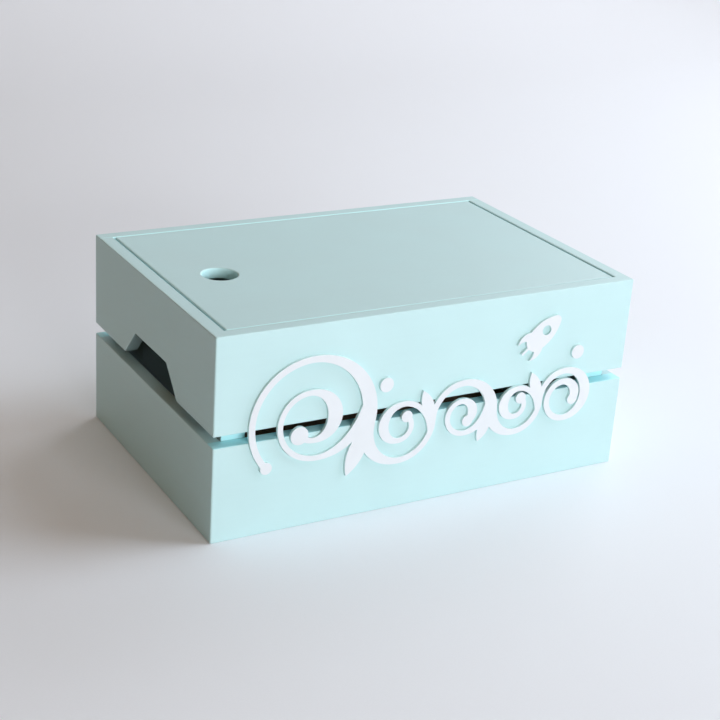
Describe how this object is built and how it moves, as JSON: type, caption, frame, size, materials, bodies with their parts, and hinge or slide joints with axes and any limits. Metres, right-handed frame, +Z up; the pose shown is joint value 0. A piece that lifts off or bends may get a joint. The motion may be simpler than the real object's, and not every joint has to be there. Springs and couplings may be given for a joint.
{
  "type": "wooden keepsake crate box",
  "caption": "Painted wooden crate-style box: spaced tiers of boards on corner posts, hand-holds in the ends, a drop-in lid with a finger hole and a raised vine scroll on the front.",
  "frame": {"origin": "middle of the underside, where the box stands on a table", "axes": "+X along the length, to the right seen from the front; -Y is the decorated front; +Z is up"},
  "size_m": [0.3, 0.198, 0.1335],
  "materials": {
    "crate_paint": "matt pale aqua paint over wood",
    "ornament_paint": "matt white paint over wood",
    "bare_board": "bare hardboard",
    "brad_steel": "bright drawn wire"
  },
  "bodies": {
    "crate": {"front_upper_board": "crate_paint", "back_upper_board": "crate_paint", "left_upper_board": "crate_paint", "right_upper_board": "crate_paint", "front_lower_board": "crate_paint", "back_lower_board": "crate_paint", "left_lower_board": "crate_paint", "right_lower_board": "crate_paint", "front_left_post": "crate_paint", "front_right_post": "crate_paint", "back_left_post": "crate_paint", "back_right_post": "crate_paint", "base_panel": "bare_board", "vine_scroll": "ornament_paint", "left_dot": "ornament_paint", "right_dot": "ornament_paint", "rocket_badge": "ornament_paint", "upper_board_brads": "brad_steel", "lower_board_brads": "brad_steel", "base_brads": "brad_steel"},
    "lid": {"lid_panel": "crate_paint"}
  },
  "joints": [
    {"name": "lid_lift", "type": "slide", "parent": "crate", "child": "lid", "axis": [0, 0, 1], "range_m": [0, 0.12]}
  ]
}
